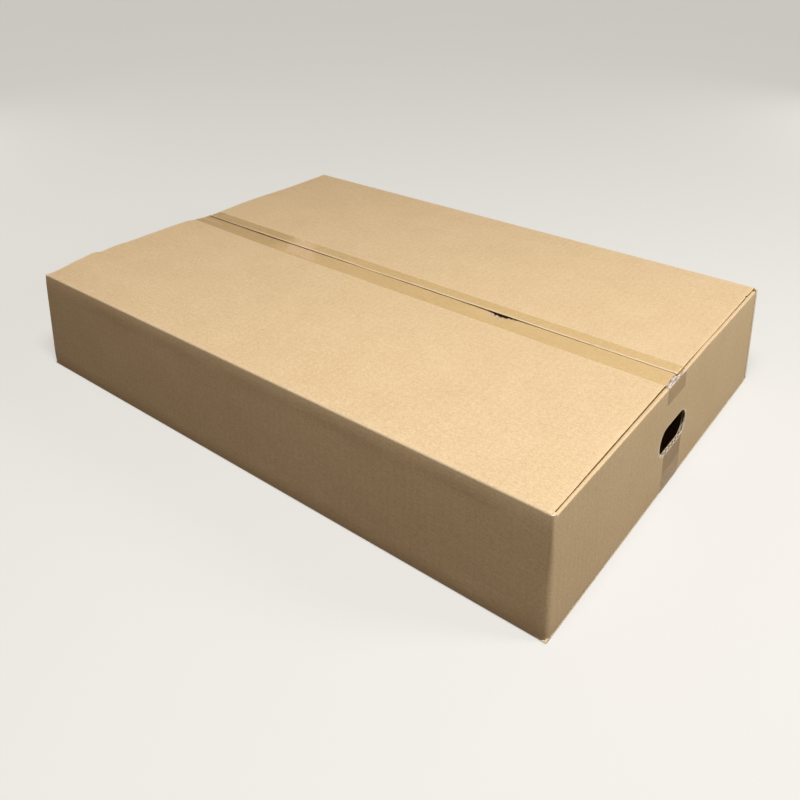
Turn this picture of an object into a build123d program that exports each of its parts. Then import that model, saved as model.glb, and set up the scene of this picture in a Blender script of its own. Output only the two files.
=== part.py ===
# Flat shipping carton of corrugated board: one scored and folded sheet, taped shut above and below.
# Length runs along X, width along Y with the front at -Y, and the carton stands on its underside at Z = 0.
import os
from math import atan2, degrees

from build123d import *

os.makedirs("parts", exist_ok=True)

# Outside of the closed carton
length = 740.0
width = 530.0
height = 130.0

# Corrugated board with a coarse flute
board = 5.0
liner = 0.7
medium = 0.8
flute_pitch = 8.8

# Folds of the sheet
fold_radius = 4.0
leaf_gap = 0.4
slot_below = 1.0
corner_drop = 2.5

# Folds of the two ends, which stand up as a ridge beside the long flaps and dip under them
ridge_drop = 2.2
ridge_radius = 3.0
ridge_lap = 1.0
press_run = 8.0

# Long flaps, which meet at a seam and close the carton above and below
seam_offset = 6.0
seam_gap = 1.6
seam_draw = 0.25
seam_run = 12.0
top_set_back = 5.0
bottom_set_back = 0.6

# Lifted left end of the front top flap
bow_height = 7.5
bow_run = 240.0
bow_place_shares = (0.1, 0.85)
bow_lift_shares = (1.55, 1.2)

# Torn spot in the front top flap's seam edge
tear_place = 152.0
tear_length = 34.0
tear_depth = 5.0

# End flaps, which lie inside the long ones
end_flap_length = 265.0
end_flap_side = 6.5

# Glued lap that closes the sheet at the right back corner
lap_length = 35.0
lap_slope = 9.0
lap_clearance = 1.5
glue_line = 0.4

# Hand holes in both ends
hole_length = 70.0
hole_height = 33.0
hole_centre = 65.0
flute_count = 7
flute_depth = 4.0

# Packing tape
tape_width = 48.0
tape_thickness = 0.1
tape_offset = 3.0
tape_margin = 3.0
top_tail = 22.0
bottom_tail = 48.0

# Cuts run this far past the faces they open
overrun = 2.0

# Levels and runs that follow from the sizes above
wall_low = board + slot_below
wall_high = height - wall_low
ridge_end = board + ridge_lap
press_end = ridge_end + press_run
crush = ridge_drop - leaf_gap
seam_flat = tape_width / 2 + abs(seam_offset - tape_offset) + tape_margin
end_flap_level = board + leaf_gap
lap_level = end_flap_level + board + lap_clearance
joint_side = width / 2 - board - glue_line
flute_height = board - 2 * liner
flute_angle = degrees(atan2(flute_height, flute_pitch / 2))
flute_base = flute_pitch - 2 * medium
flute_tip = flute_height - medium
bow_start = length / 2 - top_set_back
seam_edge = seam_offset - seam_gap / 2


def end_point(side, face, inward, depth):
    # Point in the XZ plane, measured inward from an end and down or up from the top or bottom face
    return (side * (length / 2 - inward), height / 2 + face * (height / 2 - depth))


def long_point(side, face, inward, depth):
    # Point in the YZ plane, measured inward from the front or back and from the top or bottom face
    return (side * (width / 2 - inward), height / 2 + face * (height / 2 - depth))


def bowed_edge(side, face, start, stop, depth, lift):
    # Control points of a curve from the fold to the seam that rises off the face by the given lift
    first, last = (start + share * (stop - start) for share in bow_place_shares)
    rise, fall = (depth - share * lift for share in bow_lift_shares)
    return (
        long_point(side, face, start, depth),
        long_point(side, face, first, rise),
        long_point(side, face, last, fall),
        long_point(side, face, stop, depth),
    )


def long_flap_section(side, face, lift):
    # A long wall's edge, its rounded fold and its flap, which the tape draws in along the seam
    reach = width / 2 - side * seam_offset - seam_gap / 2
    bend = reach - seam_flat
    flat_end = bend - seam_run
    with BuildSketch() as section:
        with BuildLine():
            Polyline(
                long_point(side, face, board, board),
                long_point(side, face, board, wall_low),
                long_point(side, face, 0, wall_low),
                long_point(side, face, 0, fold_radius),
            )
            TangentArc(
                long_point(side, face, 0, fold_radius),
                long_point(side, face, fold_radius, 0),
                tangent=(0, face),
            )
            Bezier(*bowed_edge(side, face, fold_radius, flat_end, 0, lift))
            Polyline(
                long_point(side, face, flat_end, 0),
                long_point(side, face, bend, seam_draw),
                long_point(side, face, reach, seam_draw),
                long_point(side, face, reach, seam_draw + board),
                long_point(side, face, bend, seam_draw + board),
                long_point(side, face, flat_end, board),
            )
            Bezier(*bowed_edge(side, face, board, flat_end, board, lift))
        make_face()
    return section.sketch


def wall_section():
    # Plan of the four walls, with the raw edge of the back wall standing beside the last fold
    with BuildSketch() as section:
        with BuildLine():
            FilletPolyline(
                (length / 2, width / 2),
                (-length / 2, width / 2),
                (-length / 2, -width / 2),
                (length / 2, -width / 2),
                (length / 2, joint_side - fold_radius),
                radius=fold_radius,
            )
            TangentArc(
                (length / 2, joint_side - fold_radius),
                (length / 2 - fold_radius, joint_side),
                tangent=(0, 1),
            )
            Polyline(
                (length / 2 - fold_radius, joint_side),
                (length / 2 - fold_radius, width / 2 - board),
                (length / 2, width / 2 - board),
                (length / 2, width / 2),
            )
        make_face()
        Rectangle(length - 2 * board, width - 2 * board, mode=Mode.SUBTRACT)
    return section.sketch


with BuildPart() as carton:
    # Long flaps along the front and the back, below and above
    for side, face, set_back in ((-1, -1, bottom_set_back), (1, -1, bottom_set_back), (1, 1, top_set_back)):
        with BuildSketch(Plane.YZ):
            add(long_flap_section(side, face, 0))
        extrude(amount=length / 2 - set_back, both=True)

    # Front top flap, whose left end has sprung up between the fold and the seam
    with BuildSketch(Plane.YZ.offset(bow_run - bow_start)):
        add(long_flap_section(-1, 1, 0))
    extrude(amount=2 * bow_start - bow_run)
    with BuildSketch(Plane.YZ.offset(-bow_start)):
        add(long_flap_section(-1, 1, bow_height))
    with BuildSketch(Plane.YZ.offset(bow_run - bow_start)):
        add(long_flap_section(-1, 1, 0))
    loft()

    # Ends of the long flaps, crushed thin where they press on the end folds
    for side in (-1, 1):
        for face, set_back in ((-1, bottom_set_back), (1, top_set_back)):
            with BuildSketch(Plane.XZ):
                with BuildLine():
                    Polyline(
                        end_point(side, face, set_back - overrun, crush),
                        end_point(side, face, ridge_end, crush),
                        end_point(side, face, press_end, board),
                        end_point(side, face, press_end, board + overrun),
                        end_point(side, face, set_back - overrun, board + overrun),
                        close=True,
                    )
                make_face()
            extrude(amount=width / 2 - board, both=True, mode=Mode.SUBTRACT)

    # Torn spot where the front top flap meets the seam
    with BuildSketch(Plane.XY.offset(height - board - overrun)):
        with BuildLine():
            ThreePointArc(
                (tear_place - tear_length / 2, seam_edge),
                (tear_place, seam_edge - tear_depth),
                (tear_place + tear_length / 2, seam_edge),
            )
            Line((tear_place + tear_length / 2, seam_edge), (tear_place - tear_length / 2, seam_edge))
        make_face()
    extrude(amount=board + 2 * overrun, mode=Mode.SUBTRACT)

    # Four walls, and their corners, which stand a little higher in the slots between the flaps
    with BuildSketch(Plane.XY.offset(wall_low)):
        add(wall_section())
    extrude(amount=wall_high - wall_low)
    with BuildSketch(Plane.XY.offset(corner_drop)):
        add(wall_section())
        Rectangle(length - 2 * (top_set_back - leaf_gap), 2 * width, mode=Mode.SUBTRACT)
        Rectangle(2 * length, width - 2 * (end_flap_side - leaf_gap), mode=Mode.SUBTRACT)
    extrude(amount=height - 2 * corner_drop)

    # End flaps with their ridges
    for side in (-1, 1):
        for face in (-1, 1):
            with BuildSketch(Plane.XZ):
                with BuildLine():
                    Line(
                        end_point(side, face, 0, ridge_drop + board),
                        end_point(side, face, 0, ridge_drop + ridge_radius),
                    )
                    TangentArc(
                        end_point(side, face, 0, ridge_drop + ridge_radius),
                        end_point(side, face, ridge_radius, ridge_drop),
                        tangent=(0, face),
                    )
                    Polyline(
                        end_point(side, face, ridge_radius, ridge_drop),
                        end_point(side, face, ridge_end, ridge_drop),
                        end_point(side, face, press_end, end_flap_level),
                        end_point(side, face, end_flap_length, end_flap_level),
                        end_point(side, face, end_flap_length, end_flap_level + board),
                        end_point(side, face, press_end, end_flap_level + board),
                        end_point(side, face, ridge_end, ridge_drop + board),
                        end_point(side, face, 0, ridge_drop + board),
                    )
                make_face()
            extrude(amount=width / 2 - end_flap_side, both=True)

    # Lap of the right end wall, glued inside the back wall
    with BuildSketch(Plane.XZ.offset(board - width / 2)):
        with BuildLine():
            Polyline(
                (length / 2 - board, lap_level),
                (length / 2 - board, height - lap_level),
                (length / 2 - board - lap_length, height - lap_level - lap_slope),
                (length / 2 - board - lap_length, lap_level + lap_slope),
                close=True,
            )
        make_face()
    extrude(amount=board + glue_line)

    # Hand holes, one cut through both ends
    with BuildSketch(Plane.YZ):
        with Locations((0, hole_centre)):
            SlotOverall(hole_length, hole_height)
    extrude(amount=length / 2 + overrun, both=True, mode=Mode.SUBTRACT)

    # Open flutes in the upper and lower edges of the hand holes
    for side in (-1, 1):
        flute_plane = Plane(
            origin=(side * (length - board) / 2, 0, hole_centre - hole_height / 2 - flute_depth),
            x_dir=(0, 1, 0),
            z_dir=(0, 0, 1),
        )
        with BuildSketch(flute_plane):
            for count, turn in ((flute_count, 0), (flute_count - 1, 180)):
                with GridLocations(flute_pitch, 0, count, 1):
                    with Locations(Location((0, 0), turn)):
                        with Locations((0, -flute_height / 2)):
                            Trapezoid(flute_base, flute_tip, flute_angle, align=(Align.CENTER, Align.MIN))
        extrude(amount=hole_height + 2 * flute_depth, mode=Mode.SUBTRACT)

carton.part.label = "carton"
export_step(carton.part, "parts/carton.step")


with BuildPart() as top_tape:
    # Strip along the top seam, pressed over the end folds and down onto both ends
    with BuildSketch(Plane.XZ.offset(-tape_offset)):
        with BuildLine():
            for side in (-1, 1):
                Line(
                    end_point(side, 1, 0, top_tail),
                    end_point(side, 1, 0, ridge_drop + ridge_radius),
                )
                TangentArc(
                    end_point(side, 1, 0, ridge_drop + ridge_radius),
                    end_point(side, 1, ridge_radius, ridge_drop),
                    tangent=(0, 1),
                )
                Line(
                    end_point(side, 1, ridge_radius, ridge_drop),
                    end_point(side, 1, top_set_back, seam_draw),
                )
            Line(end_point(-1, 1, top_set_back, seam_draw), end_point(1, 1, top_set_back, seam_draw))
            offset(amount=tape_thickness, side=Side.LEFT)
        make_face()
    extrude(amount=tape_width / 2, both=True)

top_tape.part.label = "top_tape"
export_step(top_tape.part, "parts/top_tape.step")


with BuildPart() as bottom_tape:
    # Strip along the bottom seam, turned up onto both ends as far as the hand holes
    with BuildSketch(Plane.XZ.offset(-tape_offset)):
        with BuildLine():
            Polyline(
                end_point(-1, -1, 0, bottom_tail),
                end_point(-1, -1, 0, seam_draw),
                end_point(1, -1, 0, seam_draw),
                end_point(1, -1, 0, bottom_tail),
            )
            offset(amount=tape_thickness, side=Side.RIGHT)
        make_face()
    extrude(amount=tape_width / 2, both=True)

bottom_tape.part.label = "bottom_tape"
export_step(bottom_tape.part, "parts/bottom_tape.step")
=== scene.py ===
import math

import bpy
import numpy as np
from mathutils import Matrix, Vector


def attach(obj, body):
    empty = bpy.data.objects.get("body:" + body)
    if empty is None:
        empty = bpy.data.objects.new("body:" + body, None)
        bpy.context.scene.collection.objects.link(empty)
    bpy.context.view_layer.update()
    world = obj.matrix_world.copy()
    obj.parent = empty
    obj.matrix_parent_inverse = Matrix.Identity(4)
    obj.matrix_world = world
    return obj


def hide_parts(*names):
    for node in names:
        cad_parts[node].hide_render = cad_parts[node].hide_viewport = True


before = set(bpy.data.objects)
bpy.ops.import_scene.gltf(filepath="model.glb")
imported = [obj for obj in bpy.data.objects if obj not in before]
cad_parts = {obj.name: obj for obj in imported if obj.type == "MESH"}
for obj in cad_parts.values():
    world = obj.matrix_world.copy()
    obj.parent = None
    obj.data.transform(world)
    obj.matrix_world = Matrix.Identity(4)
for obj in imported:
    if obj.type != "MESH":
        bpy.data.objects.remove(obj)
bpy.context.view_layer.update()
print("frame loaded:", sorted(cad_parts))

mm = 0.001  # shapes are worked out in millimetres and put into the meshes in metres
scene = bpy.context.scene
sharpAngle = 38  # degrees; faces that meet more sharply than this keep a crisp edge


# Small tools for the surfaces

# values leg by leg: each leg gives where it ends and how many even steps lead there
def run(first, *legs):
    parts = [np.array([float(first)])]
    for last, count in legs:
        parts.append(np.linspace(parts[-1][-1], last, count + 1)[1:])
    return np.concatenate(parts)


# smooth step: 0 at low, 1 at high, 3t^2 - 2t^3 between
def ease(low, high, value):
    t = np.clip((value - low) / (high - low), 0, 1)
    return t * t * (3 - 2 * t)


# bell curve of height 1; a power of 4 gives it a flat top and steep sides
def hump(centre, spread, value, power=2):
    return np.exp(-(((value - centre) / spread) ** power))


# bell of height 1 over several distances, each given with its spread
def near(*distances):
    return np.exp(-sum((distance / spread) ** 2 for distance, spread in distances))


# repeatable unevenness, about -1 to 1: the sum of plane waves with seeded directions, phases and wavelengths
def uneven(seed, shortest, longest, across, along=0.0, waves=14, crestSum=4.5):
    chance = np.random.default_rng(seed)
    across, along = np.broadcast_arrays(across, along)
    turn, phase = chance.uniform(0, 2 * np.pi, (2, waves, 1))
    wave = 2 * np.pi / chance.uniform(shortest, longest, (waves, 1))
    angle = wave * (np.cos(turn) * across.ravel() + np.sin(turn) * along.ravel()) + phase
    return (np.sin(angle).sum(0) / crestSum).reshape(across.shape)


# points on part of a circle, between two angles in degrees
def bend(centre, radius, start, stop, count):
    angle = np.radians(np.linspace(start, stop, count + 1))
    return np.stack([centre[0] + radius * np.cos(angle), centre[1] + radius * np.sin(angle)], 1)


# places paired with one fixed value
def level(places, height):
    return np.stack([places, np.full(len(places), height)], 1)


# places drawn in near both ends, so that the inner face of a sheet stops short of the outer one
def drawnIn(places, first, last, inset, reach=10):
    shifted = [first + inset, first + reach, last - reach, last - inset]
    return np.interp(places, [first, first + reach, last - reach, last], shifted)


# a grid of points from three coordinates of matching shapes
def grid(x, y, z):
    return np.stack(np.broadcast_arrays(x, y, z), -1)


# quads of a grid whose columns may close into a ring
def gridQuads(index, ring=False):
    if ring:
        index = np.concatenate([index, index[:, :1]], 1)
    return np.stack([index[:-1, :-1], index[1:, :-1], index[1:, 1:], index[:-1, 1:]], -1).reshape(-1, 4)


# rows of a cut edge: the outer liner's edge, a step in to where the core ends, and down to the inner face
def edgeRows(outer, inner, inwards, liner):
    if not liner:
        return np.stack([outer, inner])
    inwards = inwards / np.linalg.norm(inwards, axis=1, keepdims=True)
    step = inner - outer
    inset = (step * inwards).sum(1, keepdims=True) * inwards
    deep = step - inset
    through = deep / np.linalg.norm(deep, axis=1, keepdims=True)
    return np.stack([outer, outer + through * liner, outer + inset + through * liner, inner])


# a closed shell: outer grid, inner grid turned over, and strips of rim rows round each open border
def closeShell(outer, inner, quads, rims, cut=1.0):
    count = outer.size // 3
    points = [outer.reshape(-1, 3), inner.reshape(-1, 3)]
    faces = [quads, quads[:, ::-1] + count]
    marks = [np.zeros(2 * count)]
    base = 2 * count
    for rows in rims:
        index = base + np.arange(rows.shape[0] * rows.shape[1]).reshape(rows.shape[:2])
        faces.append(gridQuads(index, ring=True)[:, ::-1])
        points.append(rows.reshape(-1, 3))
        marks.append(np.full(index.size, cut))
        base += index.size
    points, faces, marks = map(np.concatenate, (points, faces, marks))
    a, b, c, d = (points[faces[:, i]] for i in range(4))
    volume = (a * np.cross(b, c) + a * np.cross(c, d)).sum()
    return {"points": points, "faces": faces if volume > 0 else faces[:, ::-1], "cut": marks}


# a sheet from the grids of its two faces
def closedSheet(outer, inner, liner=0.0, cut=1.0):
    rows, cols = outer.shape[:2]
    index = np.arange(rows * cols).reshape(rows, cols)
    loop = np.concatenate([index[0, :-1], index[:-1, -1], index[-1, :0:-1], index[:0:-1, 0]])
    row, col = np.divmod(loop, cols)
    inwards = outer[np.clip(row, 1, rows - 2), np.clip(col, 1, cols - 2)] - outer[row, col]
    rim = edgeRows(outer.reshape(-1, 3)[loop], inner.reshape(-1, 3)[loop], inwards, liner)
    return closeShell(outer, inner, gridQuads(index), [rim], cut)


# marks how far each point of a sheet lies across its flutes: along the box for axis 0, across it for axis 1
def fluted(sheet, axis):
    sheet["acrossFlutes"] = sheet["points"][:, axis]
    return sheet


# a new object in the scene
def addObject(name, data):
    made = bpy.data.objects.new(name, data)
    scene.collection.objects.link(made)
    return made


# one mesh object of several shells, with its attributes, at the origin of the frame
def makePiece(name, shells, material, attributes):
    points = np.concatenate([shell["points"] for shell in shells])
    starts = np.cumsum([0] + [len(shell["points"]) for shell in shells[:-1]])
    faces = np.concatenate([shell["faces"] + start for shell, start in zip(shells, starts)])
    mesh = bpy.data.meshes.new(name)
    mesh.from_pydata((points * mm).tolist(), [], faces.tolist())
    for key in attributes:
        values = np.concatenate([np.broadcast_to(shell[key], len(shell["points"])) for shell in shells])
        mesh.attributes.new(key, "FLOAT", "POINT").data.foreach_set("value", values.astype(np.float32))
    mesh.shade_smooth()
    mesh.set_sharp_from_angle(angle=math.radians(sharpAngle))
    mesh.materials.append(material)
    print(name, "has", 2 * len(faces), "triangles")
    return addObject(name, mesh)


# Small tools for the materials

# sRGB hex to linear colour
def hexColour(text):
    value = np.array([int(text[i:i + 2], 16) for i in (1, 3, 5)]) / 255
    return (*np.where(value <= 0.04045, value / 12.92, ((value + 0.055) / 1.055) ** 2.4).tolist(), 1.0)


# adds a node with its settings, and sets or links its inputs; a text is a hex colour
def node(tree, kind, inputs=None, **settings):
    made = tree.nodes.new(kind)
    for name, value in settings.items():
        setattr(made, name, value)
    for key, value in (inputs or {}).items():
        if isinstance(value, bpy.types.NodeSocket):
            tree.links.new(value, made.inputs[key])
        else:
            made.inputs[key].default_value = hexColour(value) if isinstance(value, str) else value
    return made


# a value times a factor, plus another value
def scaled(tree, value, factor, plus):
    return node(tree, "ShaderNodeMath", {0: value, 1: factor, 2: plus}, operation="MULTIPLY_ADD").outputs[0]


# a value moved from one range to another
def ranged(tree, value, old, new):
    limits = dict(zip(("From Min", "From Max", "To Min", "To Max"), (*old, *new)))
    return node(tree, "ShaderNodeMapRange", {"Value": value, **limits}).outputs["Result"]


# two colours mixed by a share
def blend(tree, share, first, second):
    return node(tree, "ShaderNodeMix", {0: share, 6: first, 7: second}, data_type="RGBA").outputs[2]


# noise over the object: the size of its grain in mm, even or along each axis, its detail and its roughness
def noise(tree, place, sizeMm, detail, roughness=0.5):
    stretch = (1000 / np.broadcast_to(sizeMm, 3)).tolist()
    place = node(tree, "ShaderNodeMapping", {"Vector": place, "Scale": stretch}).outputs["Vector"]
    settings = {"Vector": place, "Scale": 1.0, "Detail": detail, "Roughness": roughness}
    return node(tree, "ShaderNodeTexNoise", settings).outputs["Fac"]


# a value that the mesh carries at its points
def attribute(tree, name):
    return node(tree, "ShaderNodeAttribute", attribute_name=name).outputs["Fac"]


# a fine relief: its height, its strength and its depth in millimetres
def relief(tree, height, strength, depthMm):
    settings = {"Height": height, "Strength": strength, "Distance": depthMm * mm}
    return node(tree, "ShaderNodeBump", settings).outputs["Normal"]


# 1 for the rays that see a thing, 0 for the rays that only carry its light
def seenRays(tree):
    rays = node(tree, "ShaderNodeLightPath").outputs
    seen = rays["Is Camera Ray"]
    for kind in ("Is Glossy Ray", "Is Transmission Ray"):
        seen = node(tree, "ShaderNodeMath", {0: seen, 1: rays[kind]}, operation="MAXIMUM").outputs[0]
    return seen


# a new material, its node tree and the object's coordinates in it
def newMaterial(name):
    material = bpy.data.materials.new(name)
    material.use_nodes = True
    tree = material.node_tree
    tree.nodes.clear()
    return material, tree, node(tree, "ShaderNodeTexCoord").outputs["Object"]


# the shader of a material, joined to its output
def finishMaterial(tree, inputs):
    shader = node(tree, "ShaderNodeBsdfPrincipled", inputs)
    node(tree, "ShaderNodeOutputMaterial", {"Surface": shader.outputs[0]})


kraft = {
    "deep": "#c8ac83",
    "pale": "#e2cba4",
    "core": "#d6c09a",  # cut edge, between the liners
    "crushed": "#64430a",  # painted shade, dark brown: in the seam's gap, in a band along the front flap's edge and deep in the hand holes' rims
    "baredAndLit": "#f1e6cf",  # fibres bared where a fold or corner is rubbed, and painted highlights on edges that catch the light
    "speck": (1.9, 3.0, 0.65),  # size in mm, detail and roughness; real flecks are under 1 mm and would not show
    "mottle": (48.0, 3.0, 0.55),
    "grain": ((14.0, 1.6, 1.6), 2.0),
    "flutePitch": 8.8,
    "toneShares": (1.8, 0.35, 0.45, 0.03),  # what specks, mottle, grain and flutes add to the tone
    "toneStart": -0.8,
    "fray": 0.5,
    "speckRange": (0.3, 0.7),
    "roughness": (0.68, 0.86),
    "reliefShares": (0.5, 0.16),  # specks and flutes beside the grain
    "relief": (0.35, 0.25),  # strength, and depth in mm
}

# Kraft linerboard, calendered on a corrugator: matt brown paper with flecks of fibre, a soft cloudy tone
# and a trace of the flutes beneath
boardMaterial, tree, place = newMaterial("kraftLinerboardCorrugated")
speck, mottle, grain = (noise(tree, place, *kraft[key]) for key in ("speck", "mottle", "grain"))
turns = scaled(tree, attribute(tree, "acrossFlutes"), 2 * math.pi / kraft["flutePitch"], 0.0)
flute = node(tree, "ShaderNodeMath", {0: turns}, operation="SINE").outputs[0]
tone = kraft["toneStart"]
for pattern, share in zip((speck, mottle, grain, flute), kraft["toneShares"]):
    tone = scaled(tree, pattern, share, tone)
paper = blend(tree, tone, kraft["deep"], kraft["pale"])
# the cut edges' paler core, then painted shade in the seam's gap, along the front flap's edge and deep in the hand
# holes' rims
for mark, colour in (("cut", "core"), ("shade", "crushed")):
    paper = blend(tree, attribute(tree, mark), paper, kraft[colour])
# rubbed paleness and painted highlights, broken up by the specks
frayed = scaled(tree, speck, 1.0, kraft["fray"])
rubbedAndHighlit = scaled(tree, attribute(tree, "rubbedAndHighlit"), frayed, 0.0)
paper = blend(tree, rubbedAndHighlit, paper, kraft["baredAndLit"])
height = scaled(tree, flute, kraft["reliefShares"][1], scaled(tree, speck, kraft["reliefShares"][0], grain))
finishMaterial(tree, {
    "Base Color": paper,
    "Roughness": ranged(tree, speck, kraft["speckRange"], kraft["roughness"]),
    "Normal": relief(tree, height, *kraft["relief"]),
    "IOR": 1.45,
    "Specular IOR Level": 0.12,
})

film = {
    "tints": (
        (0.0, "#8c6436"),  # darkest: painted shade over the seam's gap, and the tails' edges
        (0.2, "#b5943f"),  # well stuck
        (0.55, "#dcc176"),  # half stuck
        (0.85, "#efd3a6"),  # with air under it
        (1.0, "#fff3df"),  # painted highlight along the back flap's lip
    ),
    "solid": 0.17,
    "streak": ((60.0, 2.0, 2.0), 2.0),  # size in mm along each axis, and detail
    "streakRange": (0.3, 0.7),
    "streakRelief": 0.25,
    "wrinkle": (16.0, 2.0),
    "roughness": (0.10, 0.24),
    "relief": (0.3, 0.6),
    "crumpledShadeAndGlint": ("#a8958c", "#fff4ea"),  # painted shade and painted highlights: dull and bright facets of film that is crumpled over a fold
    "crumpledSolid": 0.36,
    "facet": ((1.5, 8.0, 1.5), 1.0),
    "facetRange": (0.38, 0.58),
    "facetRelief": (0.6, 0.8),
}

# Clear tan polypropylene film, drawn and coated with adhesive: a thin amber tint over the board, glossy,
# with faint lengthwise streaks
tapeMaterial, tree, place = newMaterial("polypropyleneTapeFilm")
streak, wrinkle = (noise(tree, place, *film[key]) for key in ("streak", "wrinkle"))
ramp = node(tree, "ShaderNodeValToRGB", {"Fac": attribute(tree, "loose")})
while len(ramp.color_ramp.elements) < len(film["tints"]):
    ramp.color_ramp.elements.new(0.5)
for stop, (position, colour) in zip(ramp.color_ramp.elements, film["tints"]):
    stop.position, stop.color = position, hexColour(colour)
finishMaterial(tree, {
    "Base Color": ramp.outputs["Color"],
    "Roughness": ranged(tree, streak, film["streakRange"], film["roughness"]),
    "Normal": relief(tree, scaled(tree, streak, film["streakRelief"], wrinkle), *film["relief"]),
    "IOR": 1.5,
    "Specular IOR Level": 0.25,
    "Alpha": film["solid"],
})

# The same film crumpled loose over a fold: milky, with a hard gloss; its bright and dull facets are painted highlights
# and painted shade
crumpledMaterial, tree, place = newMaterial("polypropyleneTapeCrumpledLitAndShaded")
facet = ranged(tree, noise(tree, place, *film["facet"]), film["facetRange"], (0.0, 1.0))
finishMaterial(tree, {
    "Base Color": blend(tree, facet, *film["crumpledShadeAndGlint"]),
    "Roughness": 0.22,
    "Normal": relief(tree, facet, *film["facetRelief"]),
    "IOR": 1.5,
    "Specular IOR Level": 0.8,
    "Alpha": film["crumpledSolid"],
})
print("materials ready")


# Carton: one folded sheet of board, made as its walls, long flaps, end flaps and the two hand-hole panels

carton = {
    "length": 740.0,
    "width": 530.0,
    "height": 130.0,
    "board": 5.0,
    "liner": 0.6,
    "foldRadius": 2.0,
    "insideRadius": 0.5,
    "wallLow": 6.0,  # where the long walls turn into their folds
    "wallEnd": 340.0,  # where they turn into the corners
    "endLow": 8.0,  # where the end walls turn into their ridges
    "cornerLow": 1.2,
    "slotX": 367.8,
    "slotY": 260.2,
    "panelY": 246.0,
    "topEnd": 366.5,
    "bottomEnd": 370.0,
    "evenTo": 240.0,  # distance in from the wall where a long flap's rows start to follow the seam
    "pressedEnd": ((356, 364), (5.0, 2.0)),  # the long flaps thin out over the end folds
    "endRoll": (0.35, 1.6),  # their cut ends are pressed down, over this distance
    "skew": (-0.9, 1.7, 30, 225),  # shift of the front lid flap's right end at the seam, and more of it forwards
    "nick": (232.0, 3.0, 1.3),  # small nick in the back lid flap's right end: place, spread and depth
    "ridgeDrop": 2.3,
    "ridgeRadius": 1.5,
    "ridgeIn": (2.2, 3.0, 3.8, 4.8, 6.4),  # places on the ridge's way in under the lid
    "ridgeLean": (  # and how far it has fallen there
        (0.12, 0.36, 0.72, 1.4, 2.6),
        (0.1, 0.25, 0.5, 1.2, 2.6),  # towards the back of the right end, where the slit is shallower
    ),
    "shallowFrom": (20, 70),
    "ridgeSag": (0.2, 1.4, 25, 90),  # dents of the crest: depth, spread and wavelengths
    "rightSwell": (0.9, 88, 36),  # the right end's ridge is higher behind the seam: height, place, spread
    "rightBack": (0.3, 100, 170),  # and stays higher at the back
    "rightFront": (-0.35, -90, -150),  # and sinks at the front
    "endFlapDown": (5.4, 10.4),  # the two faces of an end flap, down from the lid
    "endFlapLength": 265.0,
    "endFlapSide": 260.0,
    "lapFlapSide": 257.4,  # stops short beside the glued lap, which leaves a small slot
    "corners": (  # side, side, how far the corner stops below the lid, and its radius at the top and lower down
        (-1, -1, 1.4, 4.5, 4.5),
        (1, -1, 0.9, 3.0, 7.0),
        (-1, 1, 1.4, 2.0, 4.5),
    ),
    "cornerSoft": (60, 124),  # the corner's radius changes between these heights
    "tipRound": (6.0, 8.5),  # left and right: how the lowest folds round off behind the corners
    "rawDrop": 0.4,
    "lapLine": 259.9,
    "lapEnd": 330.0,
    "lapRadius": 4.0,
    "lapSlope": (11.9, 9.0),  # how far the lap stops from the lid at its fold, and how much more at its end
    "waviness": 0.22,
    "wallWaves": (70, 240),
    "lidWaves": (90, 260),
    "lidCalm": (235, 263),  # the lid's waviness dies out here, towards the long folds
    "topRoll": {"from": 112.0, "run": 16.0, "long": 0.65, "end": 0.2},  # lean of long walls and ends at the lid
    "footRoll": {"from": 22.0, "run": 20.0, "long": 0.9, "end": 0.3},  # and at the foot
    "rollLong": (200, 250),  # the lean fades in over these distances from the middle
    "rollEnd": (300, 355),
}
halfLength, halfWidth, tall = carton["length"] / 2, carton["width"] / 2, carton["height"]

seam = {
    "ends": (6.7, 3.4),  # place across the box at the left and right ends
    "gaps": (  # place along the box and gap between the flaps
        (-365, 1.3), (-200, 1.2), (-140, 0.7), (-60, 0.5), (80, 0.7),
        (112, 0.8), (140, 1.4), (176, 0.8), (220, 0.3), (365, 0.3),
    ),
    "crush": (  # place along the box and how wide the band of painted shade along the front flap's edge is
        (-365, 1.4), (-340, 2.0), (-220, 2.0), (-180, 1.4), (-140, 1.2), (-115, 0.7), (0, 0.5), (40, 0.8),
        (60, 1.4), (80, 0.9), (125, 1.2), (145, 1.0), (180, 1.4), (200, 0.5), (240, 0.25), (365, 0.25),
    ),
    "ragged": (0.12, 5, 30),  # unevenness of both edges: height and wavelengths
    "bottom": (6.0, 1.6),  # the bottom seam's place and gap
    "openCore": 3.5,  # the flutes stand open this deep behind the liner's edge
    "draw": 0.25,  # the tape draws the flaps in by this much, between these places
    "drawFront": (-36, -24),
    "drawBack": (30, 42),
    "lip": (0.4, 0.5, 3),  # the back flap's edge stands higher: by this much, fading out between these distances
    "tearAt": 158.0,
    "tearLength": 42.0,
    "tearDepth": 4.0,
    "tearShape": 1.6,
    "tearRagged": (0.4, 3, 9),
    "tearRight": (0.45, 12),  # the share by which it is shallower on its right, and over what distance
    "tearSink": 1.4,
}

bow = {
    "start": -365.0,  # left end of the lid, where the bow is fullest
    "lift": 5.4,
    "plateau": (-258, -207),  # the front flap rises here
    "sink": (0.82, -48, 2),  # and loses this share of its height again on the way to the seam
    "waves": ((1.95, -195, 9), (-0.7, -181, 5), (0.9, -159, 14)),  # a crest, a dip and a swell: height, place, spread
    "run": 240.0,  # it dies out over this distance
    "fade": 1.5,
    "backSwell": (1.9, 92, 62),
    "backRun": 130.0,
    "backFade": 1.6,
}


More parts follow.
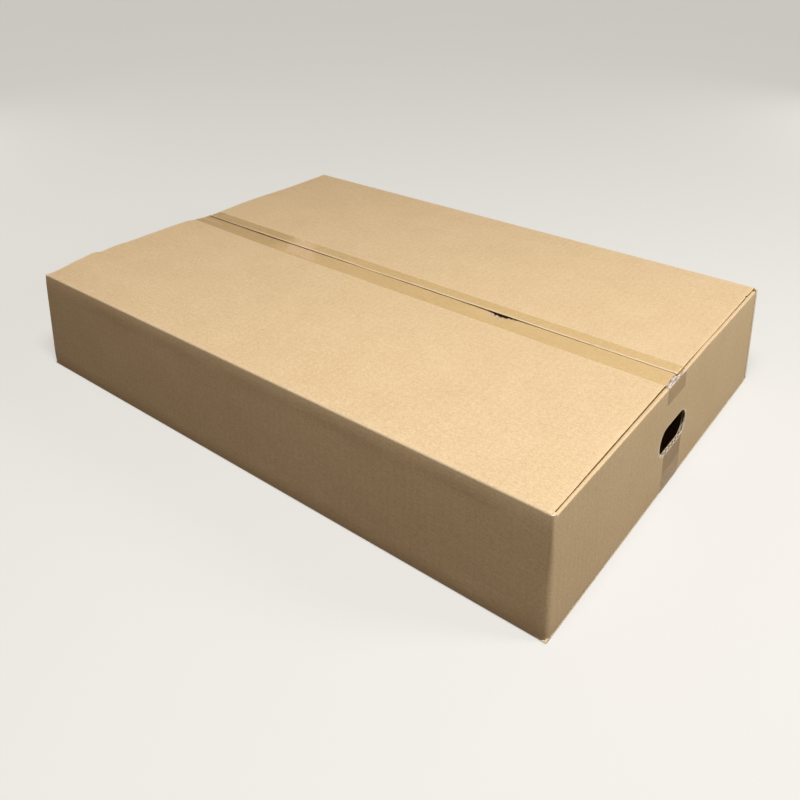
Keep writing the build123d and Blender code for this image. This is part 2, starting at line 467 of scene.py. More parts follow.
# the walls lean in towards their folds: inwards by the square of the share of the way to the fold,
# fading out towards the middle of the flaps
def rollIn(points):
    x, y, z = points.T
    top, foot = carton["topRoll"], carton["footRoll"]
    atTop = np.clip((z - top["from"]) / top["run"], 0, 1) ** 2
    atFoot = np.clip((foot["from"] - z) / foot["run"], 0, 1) ** 2
    endIn = (top["end"] * atTop + foot["end"] * atFoot) * ease(*carton["rollEnd"], np.abs(x))
    longIn = (top["long"] * atTop + foot["long"] * atFoot) * ease(*carton["rollLong"], np.abs(y))
    return np.stack([x - np.sign(x) * endIn, y - np.sign(y) * longIn, z], 1)


# slight waviness of the lid
def lidWaves(seed, x, y):
    return carton["waviness"] * (1 - ease(*carton["lidCalm"], np.abs(y))) * uneven(seed, *carton["lidWaves"], x, y)


# height of the front top flap over the lid's plane: a plateau between fold and seam with a crest, a dip and a swell,
# dying out along the box, plus the waviness
def frontLid(x, y):
    share, start, stop = bow["sink"]
    edge = bow["lift"] * ease(*bow["plateau"], y) * (1 - share * ease(start, stop, y))
    edge = edge + sum(height * hump(place, spread, y) for height, place, spread in bow["waves"])
    fade = np.clip((bow["start"] + bow["run"] - x) / bow["run"], 0, 1) ** bow["fade"]
    return edge * fade + lidWaves(3, x, y) - seam["draw"] * ease(*seam["drawFront"], y)


# the same for the back top flap, which lifts a little at its left end
def backLid(x, y):
    height, place, spread = bow["backSwell"]
    fade = np.clip((bow["start"] + bow["backRun"] - x) / bow["backRun"], 0, 1) ** bow["backFade"]
    lip, start, stop = seam["lip"]
    lip = lip * (1 - ease(start, stop, y - seamLine(x, 1)))
    drawn = seam["draw"] * (1 - ease(*seam["drawBack"], y))
    return height * hump(place, spread, y) * fade + lidWaves(4, x, y) - drawn + lip


# the torn spot: a ragged lens beside the seam, shallower on its right
def tearNotch(x):
    t = np.clip(np.abs(x - seam["tearAt"]) * 2 / seam["tearLength"], 0, 1)
    height, *wavelengths = seam["tearRagged"]
    ragged = 1 + height * uneven(8, *wavelengths, x)
    share, reach = seam["tearRight"]
    shallow = 1 - share * ease(0, reach, x - seam["tearAt"])
    return seam["tearDepth"] * (1 - t ** seam["tearShape"]) * ragged * ease(0, 0.15, 1 - t) * shallow


# depth of the torn spot as a share
def tearShare(x):
    return np.clip(tearNotch(x) / seam["tearDepth"], 0, 1)


# where the two flap edges stand at the seam, or its middle for side 0
def seamLine(x, side):
    left, right = seam["ends"]
    place = left + (x + halfLength) / carton["length"] * (right - left)
    gap = np.interp(x, *zip(*seam["gaps"]))
    height, *wavelengths = seam["ragged"]
    ragged = height * uneven(11 + side, *wavelengths, x)
    return place + side * gap / 2 + ragged - (tearNotch(x) if side < 0 else 0)


# how wide the painted shade along the front flap's edge is, along the seam
def crushWidth(x):
    return np.interp(x, *zip(*seam["crush"]))


# how far the right end of a lid flap stands out: the front one is skewed, the back one has a nick
def endShift(side, y):
    if side < 0:
        atSeam, more, start, reach = carton["skew"]
        return atSeam + more * np.clip((-y - start) / reach, 0, 1)
    place, spread, depth = carton["nick"]
    return -depth * hump(place, spread, y)


# how far the lowest folds are cut back near a corner: a quarter circle over the distance from the corner
def cornerCut(away, x):
    radius = np.where(x < 0, *carton["tipRound"])
    past = np.clip(radius - away, 0, radius)
    return radius - np.sqrt(radius ** 2 - past ** 2)


flapSteps = {  # steps along the box, finest at the torn spot, and steps in from the wall
    "front": (((-120, 40), (134, 34), (180, 60), (350, 28)), ((20, 4), (56, 6), (110, 14), (224, 13), (240, 6))),
    "back": (((-120, 40), (134, 34), (180, 20), (350, 28)), ((20, 3), (28, 3), (38, 8), (220, 16), (240, 8))),
    "bottom": (((350, 24),), ((20, 2), (240, 8))),
}


# a long flap: a profile from the wall's edge round the fold to the seam, carried along the box;
# the profile is measured in from the wall and down from the face
def longFlap(side, face):
    onTop = face > 0
    end = carton["topEnd" if onTop else "bottomEnd"]
    along, rows = flapSteps["bottom" if not onTop else "front" if side < 0 else "back"]
    x = run(-end, (-end + 1.2, 3), (-350, 5), *along, (end - 1.2, 5), (end, 3))[:, None]
    board, wallLow, radius, tight = (carton[key] for key in ("board", "wallLow", "foldRadius", "insideRadius"))
    fold = np.concatenate([[[0, wallLow], [0, 2 * radius]], bend((radius, radius), -radius, 0, 90, 9)])
    inside = bend((board + tight, board + tight), -tight, 0, 90, 9)
    inside = np.concatenate([[[board, wallLow], [board, board + 0.7]], inside])
    flat, evenTo = run(wallLow, *rows), carton["evenTo"]
    tail = run(0, (0.7, 4), (0.94, 4), (1, 4))[1:]
    if onTop:
        edge, openCore = halfWidth - side * seamLine(x, side), seam["openCore"]
    else:
        place, gap = seam["bottom"]
        edge, openCore = halfWidth - side * place - gap / 2 + 0 * x, 0.4
    ones, reach = np.ones_like(x), np.ones(len(flat) + len(tail))
    inOuter = np.concatenate([ones * fold[:, 0], ones * flat, evenTo + tail * (edge - evenTo)], 1)
    flatIn = flat + 0.4 * ease(20, wallLow, flat)
    inInner = np.concatenate([ones * inside[:, 0], ones * flatIn, evenTo + tail * (edge - evenTo - openCore)], 1)
    downOuter = np.concatenate([ones * fold[:, 1], ones * 0 * reach], 1)
    downInner = np.concatenate([ones * inside[:, 1], np.interp(np.abs(x), *carton["pressedEnd"]) * reach], 1)

    def lay(x, inward, down, dip):
        y = side * (halfWidth - inward)
        if onTop:
            x = x + endShift(side, y) * ease(end - 30, end - 1, x)
            return grid(x, y, tall - down + (frontLid(x, y) if side < 0 else backLid(x, y)) - dip)
        rounded = (inward < 4) * ((side < 0) | (x < 0))
        y = y - side * cornerCut(halfLength - np.abs(x), x) * ease(1.2, 2.8, down) * rounded
        start, stop = seam["drawBack"]
        return grid(x, y, down + seam["draw"] * ease(halfWidth - stop, halfWidth - start, inward))

    # the flap's cut end is pressed down a little, and the torn lip sinks
    press, over = carton["endRoll"]
    onFold = 0 * fold[:, 0]
    dip = press * ease(end - over, end, np.abs(x)) * np.concatenate([onFold, reach])
    if onTop and side < 0:
        dip = dip + seam["tearSink"] * tearShare(x) * np.concatenate([onFold, 0 * flat, ease(0.6, 1, tail)])
    shorter = drawnIn(x, -end, end, 2.0)
    sheet = closedSheet(lay(x, inOuter, downOuter, dip), lay(shorter, inInner, downInner, dip), carton["liner"])
    sheet["points"][:, 0] = np.clip(sheet["points"][:, 0], -halfLength, halfLength)
    return fluted(sheet, 0)


# an end fold: up the end wall, over a rounded ridge, down under the long flaps and along inside,
# carried across the box; the profile is measured in from the end and down from the face
def endFlap(side, face):
    start, stop = -carton["endFlapSide"], carton["lapFlapSide"] if side > 0 else carton["endFlapSide"]
    y = run(start, (start + 1, 2), (stop - 1, 90 if face > 0 else 48), (stop, 2))[:, None]
    board, endLow, tight = carton["board"], carton["endLow"], carton["insideRadius"]
    drop, radius, last = carton["ridgeDrop"], carton["ridgeRadius"], carton["endFlapLength"]
    rightTop = side > 0 and face > 0

    def profile(lean):
        wall = [[0, endLow], [0, 6.4], [0, 4.5]]
        crest = bend((radius, drop + radius), -radius, 0, 90, 8)
        slide = np.stack([carton["ridgeIn"], drop + np.array(lean)], 1)
        return np.concatenate([wall, crest, slide, level(run(8, (last, 6)), carton["endFlapDown"][0])])

    ridge, shallow = (profile(lean) for lean in carton["ridgeLean"])
    lain = ridge + rightTop * ease(*carton["shallowFrom"], y)[..., None] * (shallow - ridge)
    inside = np.concatenate([
        [[board, endLow], [board, endLow - 0.1], [board, endLow - 0.2]],
        bend((board + tight, 7.7), -tight, 0, 90, 8),
        [[5.8, 7.2], [6.3, 7.25], [6.9, 7.4], [8, 7.9], [10, 9.2]],
        level(run(14, (last - 0.4, 6)), carton["endFlapDown"][1]),
    ])
    depth, spread, *wavelengths = carton["ridgeSag"]
    crest = hump(radius, spread, ridge[:, 0]) * (ridge[:, 1] < 4)
    sag = depth * np.maximum(1 + uneven(20 + side + 3 * face, *wavelengths, y), 0) * crest
    if rightTop:
        height, place, spread = carton["rightSwell"]
        higher = height * hump(place, spread, y)
        for height, first, far in (carton["rightBack"], carton["rightFront"]):
            higher = higher + height * ease(first, far, y)
        sag = sag - higher * (ridge[:, 1] < 4.2)
    inset = cornerCut(halfWidth - np.abs(y), side) * (face < 0) * ((y < 0) | (side < 0))

    def lay(y, inward, down):
        return grid(side * (halfLength - inset - inward), y, tall / 2 + face * (tall / 2 - down))

    outer = lay(y, lain[..., 0], lain[..., 1] + sag)
    inner = lay(drawnIn(y, start, stop, 0.4), inside[:, 0], inside[:, 1] + 0.5 * sag)
    return fluted(closedSheet(outer, inner, carton["liner"]), 1)


# a corner fold carried upwards: in plan a straight leg, a quarter circle and a straight leg,
# the circle wider lower down, where the fold is softer
def cornerStrip(sideX, sideY, topDrop, crispRadius, softRadius):
    legEnd, legLong, depth = halfWidth - carton["panelY"], halfLength - carton["wallEnd"], carton["board"]
    slotEnd = (halfWidth - carton["slotY"] - crispRadius) / (legEnd - crispRadius)
    slotLong = max((halfLength - carton["slotX"] - crispRadius) / (legLong - crispRadius), 0.004)
    first = run(1, (slotEnd + 0.002, 3), (slotEnd, 1), (0, 1))[:-1]
    second = run(0, (slotLong, 1), (slotLong + 0.001, 1), (1, 4))[1:]
    turn = np.radians(np.linspace(0, 90, 11))

    # distances in from the end and from the long wall
    def plan(radius, inset):
        restEnd, restLong = legEnd - inset - radius, legLong - inset - radius
        alongEnd = np.stack([0 * first, radius + first * restEnd], 1)
        circle = radius - radius * np.stack([np.cos(turn), np.sin(turn)], 1)
        alongLong = np.stack([radius + second * restLong, 0 * second], 1)
        return inset + np.concatenate([alongEnd, circle, alongLong])

    crisp, soft = plan(crispRadius, 0.0), plan(softRadius, 0.0)
    tight = carton["insideRadius"]
    crispIn, softIn = plan(tight, depth), plan(np.maximum(softRadius - depth, tight), depth)
    order = np.arange(len(crisp))
    onEnd, onLong = order < 4, order >= len(crisp) - 5  # the parts of the legs beyond the slots
    high, low = (
        np.where(onEnd, carton["endLow"], np.where(onLong, carton["wallLow"], stop))[:, None]
        for stop in (topDrop, carton["cornerLow"])
    )
    z = low + run(0, (0.04, 2), (0.96, 22), (1, 2)) * (tall - high - low)
    softness = (1 - ease(*carton["cornerSoft"], z))[..., None]

    def lay(a, b):
        inwards = a[:, None, :] + softness * (b - a)[:, None, :]
        return grid(sideX * (halfLength - inwards[..., 0]), sideY * (halfWidth - inwards[..., 1]), z)

    sheet = closedSheet(lay(crisp, soft), lay(crispIn, softIn), carton["liner"])
    sheet["acrossFlutes"] = np.abs(sheet["points"][:, 0]) + halfWidth - np.abs(sheet["points"][:, 1])
    return sheet


# a long wall between its corners, with a slight waviness; the back one ends in a raw edge at the right back corner
def longWall(sideY, raw, topDrop):
    end, wallLow = carton["wallEnd"], carton["wallLow"]
    x = run(-end, (end, 60))
    if raw:
        x = np.concatenate([x, run(carton["slotX"], (carton["slotX"] + 0.02, 1), (halfLength, 2))])
    x = x[:, None]
    high = tall - np.where(x > carton["slotX"], topDrop, wallLow)
    z = wallLow + run(0, (0.04, 2), (0.2, 5), (0.8, 8), (0.96, 5), (1, 2)) * (high - wallLow)
    window = ease(end, end - 50, np.abs(x)) * ease(6, 26, z) * (1 - ease(104, 124, z))
    dent = carton["waviness"] * window * np.maximum(1 + uneven(40 + sideY, *carton["wallWaves"], x, z), 0)
    faces = (grid(x, sideY * (halfWidth - depth - dent), z) for depth in (0, carton["board"]))
    return fluted(closedSheet(*faces), 0)


# the last fold at the right back corner and the glued lap inside the back wall
def lapStrip():
    line, radius, tight, board = (carton[key] for key in ("lapLine", "lapRadius", "insideRadius", "board"))
    turn, offset = halfLength - radius, board + tight
    y = run(carton["panelY"], (line - radius, 3))
    x = run(turn, (carton["lapEnd"], 6))[1:]
    outerPlan = np.concatenate([
        level(y, halfLength)[:, ::-1],
        bend((turn, line - radius), radius, 0, 90, 8)[1:],
        level(x, line),
    ])
    innerPlan = np.concatenate([
        level(np.minimum(y, line - offset), halfLength - board)[:, ::-1],
        bend((halfLength - offset, line - offset), tight, 0, 90, 8)[1:],
        level(np.minimum(x, turn - 2), line - board),
    ])
    innerPlan[-1, 0] += 0.3
    start, more = carton["lapSlope"]
    slanted = start + more * (turn - outerPlan[:, 0]) / (turn - carton["lapEnd"])
    edge = np.where(outerPlan[:, 1] < line - 0.01, carton["endLow"], slanted)[:, None]
    z = edge + run(0, (1, 12)) * (tall - 2 * edge)
    outer, inner = (grid(plan[:, :1], plan[:, 1:], z) for plan in (outerPlan, innerPlan))
    return fluted(closedSheet(outer, inner, carton["liner"]), 1)


handHole = {
    "half": 35.0,
    "radius": 16.5,
    "height": 63.0,
    "channel": 6.0,
    "medium": 0.8,
    "rimBoard": 3.6,  # the cutting die presses the board to this thickness at the rim
    "pressRun": 14.0,
    "fluteReach": 40.0,
    "fluteProud": 0.25,  # the flutes' tips stand this far out of the rim
}
holeStraight = handHole["half"] - handHole["radius"]


# an end wall round its hand hole: rays from the hole's outline to the panel's border;
# the hole's rim is a channel between the liners
def endPanel(side):
    radius, middle, panelY = handHole["radius"], handHole["height"], carton["panelY"]
    above, below = tall - carton["endLow"] - middle, middle - carton["endLow"]
    halves = []
    for reach in (above, below):
        corner = math.atan2(reach, panelY)
        quarter = np.concatenate([np.linspace(0, corner, 13)[:-1], np.linspace(corner, math.pi / 2, 38)])
        halves.append(np.concatenate([quarter[:-1], math.pi - quarter[:0:-1]]))
    angle = np.concatenate([halves[0], halves[1] + math.pi])
    c, s = np.cos(angle), np.sin(angle)
    wide, steep = np.maximum(np.abs([c, s]), 1e-6)
    onRound = holeStraight * np.abs(c) + np.sqrt(np.maximum(radius ** 2 - (holeStraight * s) ** 2, 0))
    hole = np.where(np.abs(c) * radius <= holeStraight * np.abs(s), radius / steep, onRound)
    border = np.minimum(panelY / wide, np.where(s > 0, above, below) / steep)
    share = run(0, (0.01, 1), (1, 16))[:, None] ** 1.4
    ray = hole + share * (border - hole)
    y, z = ray * c, middle + ray * s
    liner, rimBoard = carton["liner"], handHole["rimBoard"]
    thick = rimBoard + (carton["board"] - rimBoard) * ease(0, handHole["pressRun"], ray - hole)
    outer, inner = (grid(side * (halfLength - depth), y, z) for depth in (0, thick))
    away = np.stack([y[0] - np.clip(y[0], -holeStraight, holeStraight), z[0] - middle], 1)
    away = away / np.linalg.norm(away, axis=1, keepdims=True) * handHole["channel"]
    channel = (  # depth of each row of the rim, and whether it lies at the channel's floor
        (0, 0), (liner, 0), (liner, 1), (rimBoard - liner, 1), (rimBoard - liner, 0), (rimBoard, 0),
    )
    holeRows = np.stack([
        grid(side * (halfLength - depth), y[0] + out * away[:, 0], z[0] + out * away[:, 1]) for depth, out in channel
    ])
    borderRows = np.stack([outer[-1, ::-1], inner[-1, ::-1]])
    quads = gridQuads(np.arange(y.size).reshape(y.shape), ring=True)
    return fluted(closeShell(outer, inner, quads, [holeRows, borderRows]), 1)


# the fluted medium inside a hand hole's rim: a cosine wave across the board,
# carried from the channel's floor to the hole's outline
def holeFlutes(side, up):
    y = run(-handHole["fluteReach"], (handHole["fluteReach"], 120))[:, None]
    wave = (handHole["rimBoard"] - 2 * carton["liner"] - handHole["medium"]) / 2
    turns = 2 * math.pi / kraft["flutePitch"]
    slope = -wave * turns * np.sin(turns * y)
    past = np.maximum(np.abs(y) - holeStraight, 0)
    rim, floor = (
        np.sqrt(np.maximum(radius ** 2 - past ** 2, 0))
        for radius in (handHole["radius"], handHole["radius"] + handHole["channel"])
    )
    share = np.linspace(0, 1, 4)
    rise = rim + (1 - share) * (floor - rim) + handHole["fluteProud"] * share

    def lay(offset):
        across = offset / np.sqrt(1 + slope ** 2)
        x = side * (halfLength - handHole["rimBoard"] / 2 + wave * np.cos(turns * y) + across)
        return grid(x, y - across * slope, handHole["height"] + up * rise)

    return fluted(closedSheet(lay(handHole["medium"] / 2), lay(-handHole["medium"] / 2)), 1)


wearAndHighlights = {  # how strongly each place is made pale, by rubbing or by a painted highlight, with its spread where one is given
    # corners: rubbed, partly a painted highlight
    "topCorner": (0.4, 4.0),
    "footCorner": (0.8, 1.4),
    "cornerRise": 3.0,
    # folds: rubbed, partly a painted highlight
    "backFold": 0.35,
    "frontFold": 0.18,
    # a faint painted highlight on the end ridges' crest
    "ridge": 0.05,
    "foldSpread": 2.0,
    "seam": (0.8, 1.0, 1.7),  # painted highlight on the back flap's lip: strength, distance behind the seam and spread
    "tear": (0.9, 1.2),
    "foot": (0.75, 0.25),  # at the front of the end, and more towards the back
    "lapEdge": 0.9,
    "rawEnd": 0.5,
    "hole": (0.8, 0.3),  # painted highlight on the hole's edges, partly rubbed: near the outer liner and further in
    "holeSpread": 0.9,
}


# where a shell of board is made pale: rubbed corners and folds, partly painted highlights, the torn lip, raw edges at
# the glued corner, pale lines along the foot of the ends and the left end's cut edge, and painted highlights on the
# back flap's lip, the end ridges and the hand holes' edges; and where it is dark brown as painted shade: the seam's
# gap, a band along the front flap's edge, deep among the open flutes of the hand holes' rims
def boardWearLightAndShade(shell):
    x, y, z = shell["points"].T
    outX, outY, rise = halfLength - np.abs(x), halfWidth - np.abs(y), tall / 2 - np.abs(z - tall / 2)
    # corners rubbed pale, partly a painted highlight
    strength, spread = (np.where(z > tall / 2, *pair) for pair in zip(wearAndHighlights["topCorner"], wearAndHighlights["footCorner"]))
    corner = strength * near((outX, spread), (outY, spread), (rise, wearAndHighlights["cornerRise"]))
    # folds rubbed pale, partly a painted highlight; a faint painted highlight on the end ridges' crest
    spread = wearAndHighlights["foldSpread"]
    fold = np.where(y > 0, wearAndHighlights["backFold"], wearAndHighlights["frontFold"]) * near((outY, spread), (rise, spread))
    ridge = wearAndHighlights["ridge"] * near((outX - 1, spread), (rise - 2, spread))
    # painted highlight on the back flap's lip behind the seam
    strength, behind, spread = wearAndHighlights["seam"]
    seamLipHighlight = strength * hump(seamLine(x, 1) + behind, spread, y) * (z > tall - 1) * (1 - shell["cut"])
    tearStrength, spread = wearAndHighlights["tear"]
    tear = hump(seamLine(x, -1), spread, y) * (tearNotch(x) > 0.8) * (z > tall - 3)
    # a pale line along the foot of each end, paler towards the back
    atFront, more = wearAndHighlights["foot"]
    foot = (outX < 1.2) * (1 - ease(2.0, 2.8, z)) * (atFront + more * ease(-120, 120, y))
    foot = foot * (1 - ease(257, 262, np.abs(y)))
    lapEdge = wearAndHighlights["lapEdge"] * (x > halfLength - 0.5) * (y > carton["lapLine"])
    rawEnd = wearAndHighlights["rawEnd"] * (x < -carton["topEnd"] + 1.3) * (z > tall - 1.5)
    # painted highlight on the hand hole's edges, partly rubbed, and pale flute tips
    rimBoard = handHole["rimBoard"]
    past = np.hypot(np.maximum(np.abs(y) - holeStraight, 0), z - handHole["height"]) - handHole["radius"]
    hole = hump(0, wearAndHighlights["holeSpread"], past) * np.where(outX < 2.5, *wearAndHighlights["hole"]) * (outX < rimBoard + 0.1)
    rubbedAndHighlit = corner + fold + ridge + seamLipHighlight + tearStrength * tear + foot + lapEdge + rawEnd + hole
    rubbedAndHighlit = np.clip(rubbedAndHighlit, 0, 1)
    # painted shade: a dark band along the front flap's edge at the seam
    crush = hump(seamLine(x, -1), crushWidth(x), y, 4) * (z > tall - 3) * (np.abs(y) < 20)
    # painted shade on the cut rims in the seam's gap
    openCore = shell["cut"] * (np.abs(y - seamLine(x, 0)) < 8) * (z > tall - 8)
    # painted shade, darker deeper in the hand holes' rim channels
    channel = np.clip((past - 0.5) / 2.5, 0, 1) * (outX > 0.3) * (outX < rimBoard - 0.3)
    channel = channel * (rise > 20) * (np.abs(y) < 60)
    return rubbedAndHighlit, np.maximum.reduce([openCore * (1 - rubbedAndHighlit), crush * (1 - tear), channel])


shells = [longFlap(side, face) for face in (1, -1) for side in (-1, 1)]
shells += [endFlap(side, face) for face in (1, -1) for side in (-1, 1)]
shells += [cornerStrip(*corner) for corner in carton["corners"]]
shells += [longWall(-1, False, 0), longWall(1, True, carton["rawDrop"]), lapStrip()]
shells += [endPanel(side) for side in (-1, 1)]
shells += [holeFlutes(side, up) for side in (-1, 1) for up in (-1, 1)]
for shell in shells:
    shell["rubbedAndHighlit"], shell["shade"] = boardWearLightAndShade(shell)
    shell["points"] = rollIn(shell["points"])

cartonPiece = makePiece("cartonBoard", shells, boardMaterial, ("cut", "shade", "rubbedAndHighlit", "acrossFlutes"))
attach(cartonPiece, "root")
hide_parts("carton")
print("carton built")


# Tapes: thin films laid along the two seams

tape = {
    "half": 24.0,
    "thick": 0.1,
    "clearance": 0.02,
    "leftCentre": 2.9,
    "rightCentre": -1.3,
    "bottomCentre": 3.0,
    "tailEnd": 108.0,
    "bottomTail": 48.0,
    "lidEnd": 365.2,  # where the film leaves the lid and bridges to the end fold
    "lidSteps": ((350, 12), (176, 70), (134, 60), (-136, 108), (-210, 60), (-350, 56)),
    "tearFollow": 0.85,  # how much of the torn notch the film's edge follows
    "tearSink": 1.2,
    "looseLift": 0.8,
    "airFront": ((-194, -188, 0.48, 2), (-142, -130, 1.3, -5)),  # slanted left and right edges of the air in front
    "airBack": ((-208, -201, 1.0, 27), (-172, -158, 1.27, 26)),  # and behind the seam: from, to, slant and pivot
    "stick": (0.26, 0.24, 0.08),  # how little the film sticks at the left end, and more along the rest
    "spots": (  # pale spots: strength, then place and spread along the box and across it
        (1.0, 58, 6, -4.5, 5),
        (1.0, 140, 17, -6.5, 7),
        (0.8, 186, 7, -2.5, 5),
    ),
    "spotTone": 0.2,
    "airTone": 0.85,
    "lipHighlight": (1.9, 1.8),  # painted highlight, the bright line behind the seam: distance and spread
    "tailTone": 0.14,
    "creaseAt": (366.9, 3.4),  # the film puckers at the end folds: place and reach
    "puckers": (0.35, 0.45, 0.35),
    "puckerBack": 0.4,
    "crumpleFrom": (368.4, 2.4, 1.1),  # the crumpled strip's border, more in front of the seam, and its unevenness
}


# places where air lies under the film, from 0 to 1: two slanted boxes with soft edges, one each side of the seam
def looseFilm(x, y):
    def between(left, right):
        leftIn, rightIn = (ease(first, last, x + slant * (y - pivot)) for first, last, slant, pivot in (left, right))
        return leftIn * (1 - rightIn)

    front = between(*tape["airFront"]) * (1 - ease(2.5, 4.5, y)) * (0.55 + 0.45 * ease(-23, -14, y))
    back = between(*tape["airBack"]) * ease(7, 9, y)
    return np.clip(front + back, 0, 1)


# how little the film sticks: well at the left end, less along the rest, not where air lies under it;
# a painted highlight along the back flap's lip, and painted shade over the open gap
def filmTone(points):
    x, y, z = points.T
    least, more, rest = tape["stick"]
    tone = least + more * ease(-222, -190, x) + rest * ease(0, 300, x)
    spots = sum(strength * hump(atX, wide, x) * hump(atY, deep, y) for strength, atX, wide, atY, deep in tape["spots"])
    tone = np.maximum(tone + tape["spotTone"] * spots, tape["airTone"] * looseFilm(x, y))
    # a painted highlight along the back flap's lip
    behind, spread = tape["lipHighlight"]
    lip = hump(seamLine(x, 1) + behind, spread, y) * ease(-330, -210, x)
    tone = tone + lip * np.clip(1 - tone, 0, 1)
    # painted shade over the seam's open gap
    front, back = seamLine(x, -1) - crushWidth(x), seamLine(x, 1) + 0.1
    gap = hump((front + back) / 2, (back - front + 0.5) / 2, y, 4)
    tail = tape["tailTone"] * (1 - ease(13, tape["half"], np.abs(y - tape["rightCentre"])))
    return np.where(z > tall - 1, np.clip(tone, 0, 1) * (1 - gap), tail)


# where the film is crumpled: along the right end's fold, wider in front of the seam where it bridges the slit,
# and in specks at the torn spot
def crumpledFilm(x, y, z):
    border, wider, ragged = tape["crumpleFrom"]
    border = border - wider * ease(6, -2, y) + ragged * uneven(34, 5, 14, y)
    overFold = (x > border) * (z > tall - 4.2) * (y > tape["rightCentre"] - tape["half"] + 1)
    besideTear = (tearNotch(x) > 1.5) * (x < seam["tearAt"] + 4)
    specks = (seamLine(x, -1) - y < 1.7) * (y < seamLine(x, 1) - 1.5) * (uneven(37, 4, 9, x, y) > 0)
    return overFold | (besideTear * specks)


# the top film: its line runs up one end, over the ridges, along the lid and down the other end;
# one half lies each side of the seam
def topFilm(part):
    drop, radius, lidEnd = carton["ridgeDrop"], carton["ridgeRadius"], tape["lidEnd"]
    ridgeX, ridgeZ = halfLength - radius, tall - drop - radius
    tail = level(run(tape["tailEnd"], (ridgeZ, 11)), halfLength)[:-1, ::-1]
    bridge = run(ridgeX, (lidEnd, 9))[1:]
    slope = np.stack([bridge, np.interp(bridge, [lidEnd, ridgeX], [tall - seam["draw"], tall - drop])], 1)
    rightEnd = np.concatenate([tail, bend((ridgeX, ridgeZ), radius, 0, 90, 8), slope])
    lid = run(lidEnd, *tape["lidSteps"], (-lidEnd, 6))[1:-1]
    line = np.concatenate([rightEnd, level(lid, tall), rightEnd[::-1] * [-1, 1]])
    x, z = line[:, :1], line[:, 1:]
    tangent = np.gradient(line, axis=0)
    normal = np.stack([tangent[:, 1], -tangent[:, 0]], 1)
    normal = normal / np.linalg.norm(normal, axis=1, keepdims=True)
    share = (x + halfLength) / carton["length"]
    centre, half = tape["leftCentre"] + share * (tape["rightCentre"] - tape["leftCentre"]), part * tape["half"]
    middle = (seamLine(x, -1) + tearNotch(x) + seamLine(x, 1)) / 2
    edge = middle - tape["tearFollow"] * tearNotch(x) if part < 0 else middle
    across = run(0, (0.1, 2), (0.9, 16), (1, 3))
    y = (centre + half) + across * (edge - centre - half)
    onLid = np.abs(x) <= lidEnd
    front, back = frontLid(x, y), backLid(x, y)
    joined = front + ease(-2, 2, y - middle) * (back - front)
    lift = np.maximum(joined, front if part < 0 else back)
    if part < 0:
        lift = lift - tape["tearSink"] * tearShare(x) * ease(0.7, 1, across)
    place, reach = tape["creaseAt"]
    crease = np.clip(1 - np.abs(np.abs(x) - place) / reach, 0, 1) * (z > tall - 3.5)
    base, coarse, fine = tape["puckers"]
    pucker = base + coarse * uneven(31, 5, 14, y, 3 * x) + fine * uneven(32, 3, 6, y, x)
    pucker = crease * pucker * np.where(y < middle, 1, tape["puckerBack"])
    ruck = looseFilm(x, y) * onLid * tape["looseLift"] * (0.55 + 0.45 * uneven(33, 9, 26, 0.4 * y, x))
    height = tape["clearance"] + np.maximum(pucker, 0) + ruck

    def lay(extra):
        away = height + extra
        rise = np.where(onLid, tall + lift, z) + np.where(onLid, 1, normal[:, 1:]) * away
        return grid(x + normal[:, :1] * away, y, rise)

    top = lay(tape["thick"] - tape["clearance"])
    top[..., 0] = np.clip(top[..., 0], -halfLength - tape["thick"], halfLength + tape["thick"])
    sheet = closedSheet(top, lay(0.0), cut=0.0)
    sheet["loose"] = filmTone(sheet["points"])
    return sheet


# the bottom film: along the underside and squarely up both ends
def bottomFilm():
    tail = level(run(tape["bottomTail"], (0.4, 15)), halfLength)[:, ::-1]
    under = level(run(halfLength, (-halfLength, 60)), seam["draw"])
    line = np.concatenate([tail, under, tail[::-1] * [-1, 1]])
    x, z = line[:, :1], line[:, 1:]
    outX, outZ = np.sign(x) * (np.abs(x) > halfLength - 0.01), -1.0 * (z < 0.3)
    y = run(tape["bottomCentre"] - tape["half"], (tape["bottomCentre"] + tape["half"], 16))
    sheet = closedSheet(*(grid(x + outX * away, y, z + outZ * away) for away in (tape["thick"], 0.0)), cut=0.0)
    sheet["loose"] = np.zeros(len(sheet["points"]))
    return sheet


topFilms, bottomFilms = [topFilm(-1), topFilm(1)], [bottomFilm()]
middles = np.concatenate([shell["points"][shell["faces"]].mean(1) for shell in topFilms])
for shell in topFilms + bottomFilms:
    shell["points"] = rollIn(shell["points"])
topTape = makePiece("topTapeFilm", topFilms, tapeMaterial, ("loose",))
topTape.data.materials.append(crumpledMaterial)
topTape.data.polygons.foreach_set("material_index", crumpledFilm(*middles.T).astype(np.int32))
bottomTape = makePiece("bottomTapeFilm", bottomFilms, tapeMaterial, ("loose",))
for piece, solid in ((topTape, "top_tape"), (bottomTape, "bottom_tape")):
    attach(piece, "root")
    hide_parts(solid)
print("tapes laid")


# Studio: pale floor, a soft key above on the right, weak lamps for the ends and the back, and a plain sky

studio = {
    "floor": "#92918e",
    "floorGlow": "#c0beba",  # its own paleness to the camera, even far away
    "floorBounce": "#3d352c",  # what it gives back to the box, low so that the shaded front stays deep
    "floorHalf": 14000.0,
    "floorDrop": 0.2,
    "cloud": (1000 / 3, 3.0),  # a third of a metre, and detail
    "floorRoughness": (0.8, 0.95),
    "sky": "#ffbe78",
    "skyStrength": 0.11,
    "backdrop": "#c8c7c4",
    "aim": (0.0, 0.0, 0.08),
    "lamps": {  # place, width and power
        "key": ((0.52, -0.59, 1.7), 0.6, 28.1),
        "rightEnd": ((1.38, 0.38, 0.84), 0.5, 10.6),
        "leftEnd": ((-1.9, -0.26, 0.28), 0.5, 5.5),
        "back": ((0.55, 2.0, 0.28), 0.5, 5.5),
    },
}

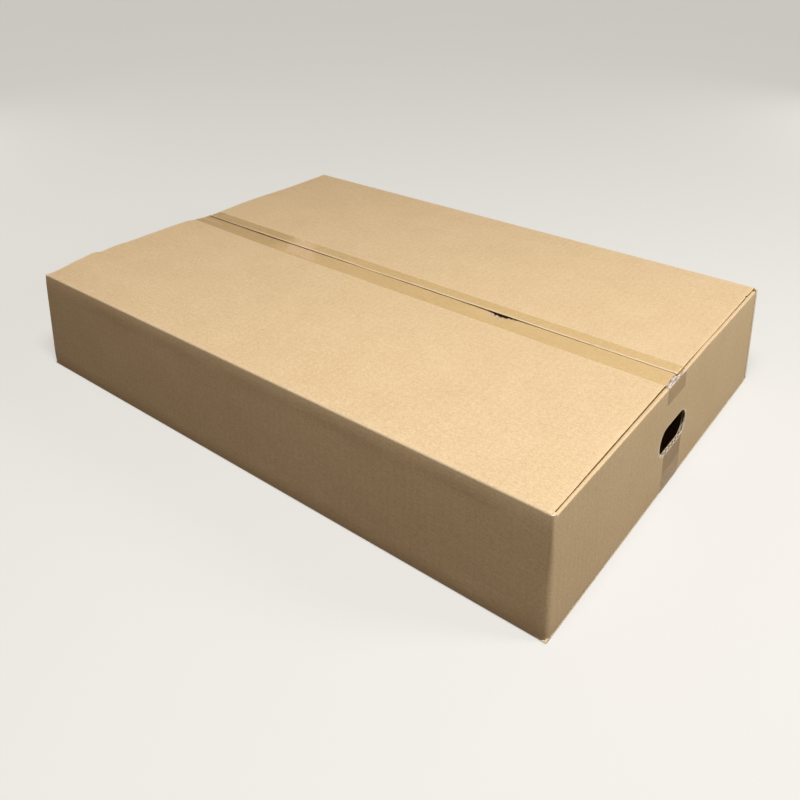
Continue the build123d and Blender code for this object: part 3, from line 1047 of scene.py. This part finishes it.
# Matt painted studio floor: pale and even, with a faint cloudiness
floorMaterial, tree, place = newMaterial("mattPaintedFloor")
seen = seenRays(tree)
finishMaterial(tree, {
    "Base Color": blend(tree, seen, studio["floorBounce"], studio["floor"]),
    "Roughness": ranged(tree, noise(tree, place, *studio["cloud"]), (0.0, 1.0), studio["floorRoughness"]),
    "Specular IOR Level": 0.2,
    "Emission Color": studio["floorGlow"],
    "Emission Strength": seen,
})

floorLine = run(-studio["floorHalf"], (studio["floorHalf"], 8))
floorGrid = grid(floorLine[:, None], floorLine, -studio["floorDrop"])
floorQuads = gridQuads(np.arange(len(floorLine) ** 2).reshape(floorGrid.shape[:2]))
floor = makePiece("studioFloor", [{"points": floorGrid.reshape(-1, 3), "faces": floorQuads}], floorMaterial, ())

# a dim warm sky that lights the box, and a pale backdrop for the rays that see it
world = bpy.data.worlds.new("studioSky")
scene.world = world
world.use_nodes = True
tree = world.node_tree
tree.nodes.clear()
dim = node(tree, "ShaderNodeBackground", {"Color": studio["sky"], "Strength": studio["skyStrength"]})
pale = node(tree, "ShaderNodeBackground", {"Color": studio["backdrop"], "Strength": 1.0})
mixed = node(tree, "ShaderNodeMixShader", {0: seenRays(tree), 1: dim.outputs[0], 2: pale.outputs[0]})
node(tree, "ShaderNodeOutputWorld", {"Surface": mixed.outputs[0]})

for name, (spot, width, power) in studio["lamps"].items():
    lamp = bpy.data.lights.new(name + "Lamp", "AREA")
    lamp.shape = "DISK"
    lamp.size = width
    lamp.energy = power
    holder = addObject(name + "Lamp", lamp)
    holder.location = spot
    holder.rotation_euler = (Vector(studio["aim"]) - Vector(spot)).to_track_quat("-Z", "Y").to_euler()

# camera fitted to the photograph, which is a crop, so the lens is shifted
view = {
    "turn": 37.927,
    "rise": 17.411,
    "roll": 0.127,
    "place": (0.6262, -0.7941, 0.6043),
    "sensor": 36,
    "focal": 869.4 / 800,  # as a share of the sensor's width
    "shift": -0.29624,
}
turn, rise, roll = (math.radians(view[key]) for key in ("turn", "rise", "roll"))
back = Vector((math.sin(turn) * math.cos(rise), -math.cos(turn) * math.cos(rise), math.sin(rise)))
flatRight = Vector((math.cos(turn), math.sin(turn), 0))
right = math.cos(roll) * flatRight + math.sin(roll) * back.cross(flatRight)
up = back.cross(right)
lens = bpy.data.cameras.new("photoCamera")
lens.sensor_width = view["sensor"]
lens.lens = view["focal"] * view["sensor"]
lens.shift_y = view["shift"]
camera = addObject("photoCamera", lens)
camera.matrix_world = Matrix.Translation(view["place"]) @ Matrix((right, up, back)).transposed().to_4x4()
scene.camera = camera
scene.view_settings.view_transform = "Standard"
print("studio and camera set")
